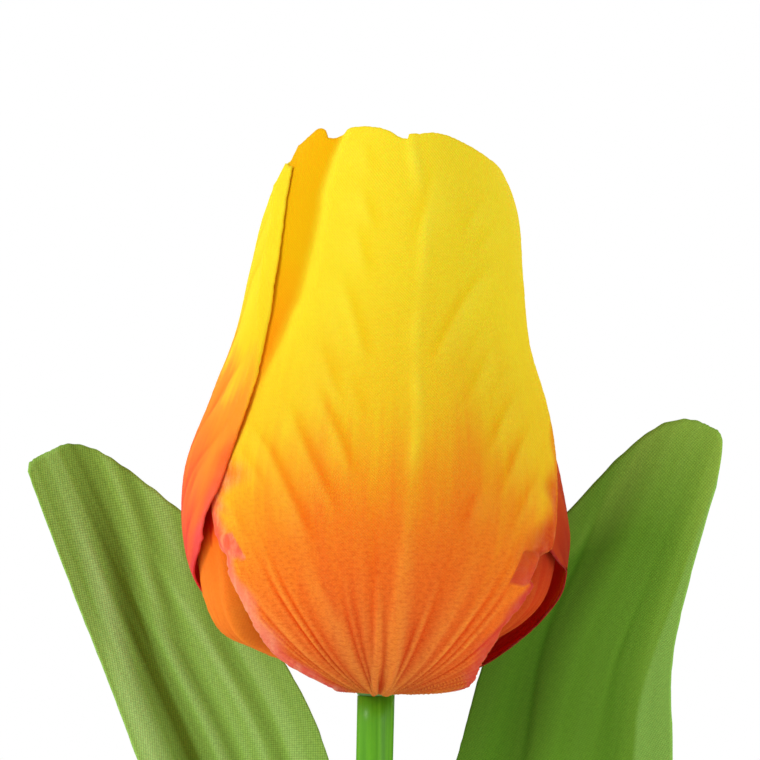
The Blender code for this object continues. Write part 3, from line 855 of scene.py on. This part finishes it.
        # A deep nick reaches further into the cloth, so that its edge never folds over
        angle = u * arc - math.copysign(bite * abs(u) ** min(NICK_POWER, 0.8 * arc / max(bite, 1)), u)
        relief, tone = self.relief(angle, share, radius, u)
        form = table_at(self.lifts[side], share) * onset(abs(u), 0.5, 0.4)
        form += 0.1 * self.lap(share * 12 + 30 * side) * abs(u) ** 3
        strip = 0
        if self.worn and u < 0:
            relief, dip, strip = self.past_crease(angle, share, relief)
            form += dip
        if self.swell is not None:
            belly, centre, half, soft = self.swell
            form += table_at(belly, share) * smooth((half + soft - abs(angle - centre)) / soft)
        scrap, folded = self.torn(angle, share) if self.worn else (0, 0)
        form += scrap
        inside = (1 - abs(u)) * math.radians(arc) * radius
        rim = folded
        for where, low, high, width in self.rims:
            if where == side:
                window = onset(share, low, 0.02) * (1 - onset(share, high, 0.05))
                width *= 1 + 0.25 * self.sway(share * 40 + 9)
                rim = max(rim, window * (1 - smooth((inside - 0.2 * width) / (0.8 * width))))
        total = relief + form
        own = self.curl * radius
        reach = own + total * slope.y
        around = math.radians(angle)
        point = Vector((radius - own + reach * math.cos(around), reach * math.sin(around),
                        height - total * slope.x))
        flat = (around * radius, share * self.length)
        return TO_HEAD @ (self.turn @ point), tone, rim, strip, flat


def leaf_surface(line, turns, widths, drops, outer_side, ridges, creases, lean, fine, turned, seed):
    """One leaf's form, from the values given above."""
    drift, nibble = waver(seed), waver(seed + 1, 9)

    def surface(u, t):
        out = u * outer_side
        drop, power = drops[1 if out > 0 else 0]
        drop *= abs(u) ** power
        share = t * (1 - drop) - 0.0004 * t ** 40 * (1 + nibble(u * 18))
        centre = Vector(curve_at(line, share))
        ahead = Vector(curve_at(line, min(share + 0.01, 1)))
        behind = Vector(curve_at(line, max(share - 0.01, 0)))
        along = (ahead - behind).normalized()
        turn = math.radians(curve_at(turns, share))
        away = Vector((math.cos(turn), math.sin(turn), 0))
        away = (away - along * away.dot(along)).normalized()
        cup = math.radians(curve_at(LEAF_CUP, share))
        half = curve_at(widths[1 if out > 0 else 0], share)
        if abs(u) == 1:
            half += 0.02 * nibble(share * 300)
        radius = half / cup
        across = (1 - out) / 2
        shift = 0.012 * drift(share * 7) - lean * onset(share, 0.8, 0.18)
        ridge = curve_at(ridges, kept(across + shift)) * smooth(share / 0.2)
        ridge += fine * math.cos(60 * across + 2 * drift(share * 3)) * (1 - u * u)
        for crease, slant, depth, end in creases:
            beside = across + shift - crease - slant * (share - 0.86)
            ends = onset(share, 0.5, 0.2) * (1 - onset(share, end, 0.06))
            ridge -= ends * depth * math.exp(-(beside / 0.02) ** 2)
        # The ridges' painted shading, fainter towards the end
        tone = 1.4 * ridge * (1 - 0.5 * onset(share, 0.88, 0.12))
        ridge *= 1 - 0.75 * onset(share, 0.78, 0.2)
        spoke = away * math.cos(u * cup) + along.cross(away) * math.sin(u * cup)
        point = centre - away * radius + spoke * (radius - 0.9 * ridge)
        edge = turned * (1 - smooth((across - min(0.04 + 0.85 * (0.925 - share), 0.18)) / 0.02))
        return HEAD_BASE + point, tone, edge, 0, (u * half, share * LEAF_LENGTH)

    return surface


def make_vase(surface):
    rings = 44
    inside = [curve_at(VASE_INSIDE, k / rings) for k in range(rings + 1)]
    outside = [curve_at(VASE_OUTSIDE[1:], k / 60) for k in range(61)]
    crown = [(13, 159.88), (13.5, 160), (13.95, 159.8), (14.1, 159.35)]
    foot = [(27, 0.6), (26.5, 0.15), (26, 0)]
    profile = [(0, VASE_FLOOR), *reversed(inside), *crown, *reversed(outside), *foot, (0, 0)]
    turned_piece("vase_glazed", profile, 112, surface, ["vase"])


def make_stem(surface):
    bm = bmesh.new()
    bmesh.ops.create_grid(bm, x_segments=32, y_segments=90, size=1)
    top = HEAD_HEIGHT - 0.05
    ripple = waver(5)
    for vertex in bm.verts:
        angle = math.pi * vertex.co.x
        height = STEM_FOOT[1] + (top - STEM_FOOT[1]) * (vertex.co.y + 1) / 2
        radius = STEM_RADIUS + 0.02 * math.cos(6 * angle) + 0.015 * ripple(height * 0.05)
        x = stem_x(height) + radius * math.cos(angle)
        vertex.co = Vector((x, radius * math.sin(angle), height)) * MM
    bmesh.ops.remove_doubles(bm, verts=bm.verts, dist=1e-6)
    made = finish_piece("stem_moulded", bm, surface, ["stem"])
    wall = made.modifiers.new("wall", "SOLIDIFY")
    wall.thickness = (STEM_RADIUS - STEM_BORE) * MM
    wall.offset = -1


def add_rod(bm, place, profile, lobes, dent, dark_from):
    """A closed rod of (radius, height) rows; its section has lobes, dented by that share of the radius."""
    dark = bm.verts.layers.float["anther"]
    sides = 24
    rows = []
    for radius, height in profile:
        row = []
        for k in range(sides):
            angle = 2 * math.pi * k / sides
            reach = radius * (1 - dent * (0.5 + 0.5 * math.cos(lobes * angle)))
            point = place @ Vector((reach * math.cos(angle), reach * math.sin(angle), height))
            row.append(bm.verts.new(point * MM))
            row[-1][dark] = onset(height, dark_from, 0.5)
        rows.append(row)
    for low, high in zip(rows, rows[1:]):
        for k in range(sides):
            bm.faces.new((low[k], low[(k + 1) % sides], high[(k + 1) % sides], high[k]))
    bm.faces.new(list(reversed(rows[0])))
    bm.faces.new(rows[-1])


def make_stamens(surface):
    """The three-lobed pistil and six two-lobed stamens, moulded as one."""
    foot = TO_HEAD @ Matrix.Translation((0, 0, STAMENS_FOOT))
    bm = bmesh.new()
    bm.verts.layers.float.new("anther")
    line = [(0.4, 0), *[curve_at(PISTIL, k / 30) for k in range(31)], (0.4, 18)]
    add_rod(bm, foot, line, 3, 0.22, 99)
    for k in range(STAMENS):
        turn = rotation(360 * (k + 0.5) / STAMENS, "Z")
        lean = rotation(STAMEN_SPREAD, "Y")
        place = foot @ turn @ Matrix.Translation((STAMEN_CIRCLE, 0, 0)) @ lean
        line = [curve_at(STAMEN, j / 32) for j in range(33)]
        add_rod(bm, place, line, 2, 0.3, 8.9)
    finish_piece("stamens_moulded", bm, surface, ["stamen_cluster"])


def make_petals():
    front = [(0, (186, 28, 16)), (0.12, (206, 42, 6)), (0.26, (236, 66, 0)), (0.36, (252, 94, 0)),
             (0.44, (255, 118, 2)), (0.52, (254, 152, 4)), (0.62, (252, 198, 12)), (0.8, (254, 220, 26)),
             (1, (253, 226, 34))]
    left = [(0, (206, 40, 34)), (0.2, (228, 40, 44)), (0.36, (236, 54, 68)), (0.46, (240, 60, 60)),
            (0.56, (252, 104, 50)), (0.64, (254, 134, 40)), (0.71, (253, 152, 42)), (0.79, (252, 210, 30)),
            (1, (252, 222, 34))]
    # The right petal: red dye, darkened towards its foot as painted shade; its inner face gets a lighter
    # copy, painted light on that shaded face
    right = [(0, (96, 2, 2)), (0.2, (106, 3, 2)), (0.33, (120, 6, 6)), (0.4, (142, 18, 8)),
             (0.47, (164, 32, 8)), (0.56, (200, 62, 10)), (0.68, (236, 150, 16)), (1, (242, 200, 26))]
    inner_face = [(0, (190, 6, 4)), (0.3, (236, 18, 8)), (0.4, (226, 40, 10)), (0.6, (242, 150, 18)),
              (1, (242, 200, 26))]
    # Inner petals: the red band from 0.415 to 0.52 is partly painted shade, the red seen between the outer
    # petals; deeper is a darker copy for the right one, painted shade
    inner = [(0, (214, 76, 26)), (0.14, (246, 100, 24)), (0.3, (255, 126, 34)), (0.385, (255, 112, 24)),
             (0.415, (240, 26, 6)), (0.52, (226, 24, 4)), (0.64, (240, 170, 18)), (1, (246, 204, 26))]
    shaded_inner = [(0, (130, 8, 2)), (0.14, (180, 24, 0)), (0.3, (206, 48, 0)), (0.4, (170, 14, 2)),
              (0.52, (190, 30, 6)), (0.64, (240, 170, 18)), (1, (246, 204, 26))]
    coral = [(0.12, (214, 66, 70)), (0.2, (240, 104, 88)), (0.28, (252, 142, 108)), (0.35, (250, 124, 100)),
             (0.39, (242, 70, 76)), (0.48, (240, 62, 56)), (0.52, (250, 96, 20)), (0.9, (252, 214, 60)),
             (1, (255, 238, 130))]
    # The far rim: dusky dye, darkened in part as painted shade on the side away from the light
    dusky_shaded_rim = [(0.12, (214, 70, 64)), (0.22, (212, 70, 54)), (0.3, (206, 60, 48)), (0.35, (192, 28, 50)),
            (0.42, (188, 38, 22)), (0.5, (210, 70, 10)), (0.58, (236, 140, 16))]

    form = Petal(11, -90, FRONT_MIDLINE, (FRONT_LEFT_ARC, FRONT_RIGHT_ARC), FRONT_TOP, FRONT_LIFT,
                 pleats=FRONT_PLEATS, midrib=MIDRIB, bites=FRONT_BITES, worn=True,
                 rims=FRONT_RIMS)
    skin = petal_material("petal cloth front", front, coral, (236, 172, 0), far_rim=dusky_shaded_rim)
    under = cloth_sheet("petal_front", form, 170, 200, PETAL_CLOTH, skin, ["petal_outer_front"])

    form = Petal(23, 150, LEFT_MIDLINE, (BACK_ARC, LEFT_FRONT_ARC), LEFT_TOP, LEFT_LIFT, bites=LEFT_BITES,
                 rims=LEFT_RIMS)
    skin = petal_material("petal cloth left", left, [(0.36, (222, 44, 56)), (0.44, (236, 78, 78)),
                                                     (0.54, (244, 96, 40))], paler=0.4)
    over = cloth_sheet("petal_left", form, 100, 130, PETAL_CLOTH, skin, ["petal_outer_left"])
    lay_over(over, under, LEFT_GAP, LEFT_EASING)

    form = Petal(37, 30, RIGHT_MIDLINE, (RIGHT_FRONT_ARC, BACK_ARC), RIGHT_TOP, RIGHT_LIFT, bites=RIGHT_BITES,
                 rims=RIGHT_RIMS)
    skin = petal_material("petal cloth right", right, [(0.2, (112, 4, 4)), (0.4, (150, 26, 30))], paler=0.15,
                          streaks=0.3)
    # A lighter copy of the dye for the inner face: painted light
    inside = petal_material("petal cloth right inside", inner_face, [(0.2, (150, 8, 6)), (0.4, (160, 30, 30))],
                            paler=0.15)
    cloth_sheet("petal_right", form, 90, 120, PETAL_CLOTH, skin, ["petal_outer_right"], inside)

    bright = petal_material("petal cloth inner", inner, [(0, (226, 100, 50))], streaks=0.4, paler=0.15)
    # The inner right petal's cloth: a darker copy, painted shade
    shaded_inner_skin = petal_material("petal cloth inner right", shaded_inner, [(0, (190, 60, 30))], streaks=0.4, paler=0.3)
    for name, node, seed, azimuth, lifts, swell, skin in (
            ("petal_in_left", "petal_inner_left", 41, -150, (INNER_LEVEL, INNER_FRONT_LIFT),
             (SWELL_LEFT, -16, 18, 14), bright),
            ("petal_in_right", "petal_inner_right", 53, -30, (INNER_FRONT_LIFT, INNER_LEVEL),
             (SWELL_RIGHT, 20, 14, 12), shaded_inner_skin),
            ("petal_in_back", "petal_inner_back", 67, 90, (INNER_LEVEL, INNER_LEVEL), None, bright)):
        form = Petal(seed, azimuth, INNER_MIDLINE, (INNER_ARC, INNER_ARC), INNER_TOP, lifts, curl=0.85,
                     depth=0.6, swell=swell)
        cloth_sheet(name, form, 66, 90, PETAL_CLOTH, skin, [node])


def make_leaves():
    # Each leaf's last list is painted shade across it: on the right leaf the flower's shadow over its middle,
    # on the left the valleys' shade
    skin = leaf_material("leaf cloth left", (104, 130, 30), (158, 206, 86), (200, 244, 140),
                         (194, 234, 120), 0.65,
                         [(0, 0.86), (0.35, 0.96), (0.6, 0.84), (0.85, 0.88), (1, 1)])
    form = leaf_surface(**LEAF_LEFT)
    cloth_sheet("leaf_cloth_left", form, 84, 150, LEAF_CLOTH, skin, ["leaf_left"])
    skin = leaf_material("leaf cloth right", (138, 190, 52), (184, 224, 94), (200, 236, 116),
                         (160, 214, 98), 0.35,
                         [(0, (0.64, 0.8, 0.52, 1)), (0.16, (0.48, 0.64, 0.36, 1)),
                          (0.3, (0.34, 0.5, 0.24, 1)), (0.57, (0.29, 0.44, 0.18, 1)),
                          (0.7, (0.19, 0.27, 0.11, 1)), (0.85, (0.21, 0.34, 0.12, 1)),
                          (1, (0.19, 0.28, 0.11, 1))])
    form = leaf_surface(**LEAF_RIGHT)
    cloth_sheet("leaf_cloth_right", form, 84, 150, LEAF_CLOTH, skin, ["leaf_right"])


def make_stage():
    bm = bmesh.new()
    bmesh.ops.create_circle(bm, cap_ends=True, segments=96, radius=2)
    tree = Tree("floor paper")
    grain = tree.noise(tree.spot(), 300, 2)
    tree.set(Base_Color=tree.ramp(grain, [(0.3, 0.86), (0.7, 0.9)]), Roughness=0.9)
    floor = link_mesh("floor", bm, tree.material)


def add_light(name, place, target, power, width, height):
    data = bpy.data.lights.new(name, "AREA")
    data.shape = "RECTANGLE"
    data.size = width
    data.size_y = height
    data.energy = power
    lamp = bpy.data.objects.new(name, data)
    lamp.location = place
    lamp.rotation_euler = (Vector(target) - Vector(place)).to_track_quat("-Z", "Y").to_euler()
    lamp.visible_camera = False
    bpy.context.scene.collection.objects.link(lamp)


# The point the camera looks at, from the head's base in millimetres, and its distance in metres
AIM = (0.46, 0, 36.1)
CAMERA_DISTANCE = 0.6


def make_view():
    scene = bpy.context.scene
    data = bpy.data.cameras.new("camera")
    data.lens = 248
    data.sensor_width = 36
    data.clip_start = 0.01
    camera = bpy.data.objects.new("camera", data)
    aim = (HEAD_BASE + Vector(AIM)) * MM
    camera.location = aim - Vector((0, CAMERA_DISTANCE, 0))
    camera.rotation_euler = (math.pi / 2, 0, 0)
    scene.collection.objects.link(camera)
    scene.camera = camera
    scene.view_settings.view_transform = "Standard"

    middle = (HEAD_BASE.x * MM, 0, (HEAD_BASE.z + 25) * MM)
    add_light("key", (-1, -0.45, 0.8), middle, 9, 0.5, 0.5)
    add_light("fill", (0.95, -0.8, 0.5), middle, 5, 0.9, 0.9)
    add_light("back", (0.2, 0.9, 0.9), middle, 4, 0.8, 0.8)

    world = bpy.data.worlds.new("white")
    scene.world = world
    world.use_nodes = True
    nodes, links = world.node_tree.nodes, world.node_tree.links
    nodes.clear()
    path = nodes.new("ShaderNodeLightPath")
    mix = nodes.new("ShaderNodeMixShader")
    out = nodes.new("ShaderNodeOutputWorld")
    links.new(path.outputs["Is Camera Ray"], mix.inputs[0])
    # The white that lights the flower is dimmer than the white that the camera sees
    for socket, strength in ((1, 0.56), (2, 1)):
        background = nodes.new("ShaderNodeBackground")
        background.inputs["Color"].default_value = (1, 1, 1, 1)
        background.inputs["Strength"].default_value = strength
        links.new(background.outputs[0], mix.inputs[socket])
    links.new(mix.outputs[0], out.inputs["Surface"])


def make_kept_nodes():
    """The solids whose own shape shows, each with its surface."""
    for node, surface in (
            ("stem_wire", steel_material()),
            ("receptacle", moulded_material("receptacle plastic", (58, 112, 30), (92, 150, 52)))):
        mesh = bpy.data.objects[node].data
        mesh.materials.clear()
        mesh.materials.append(surface)


make_vase(glaze_material())
make_stem(stem_material())
make_stamens(stamen_material())
make_petals()
make_leaves()
make_kept_nodes()
make_stage()
make_view()
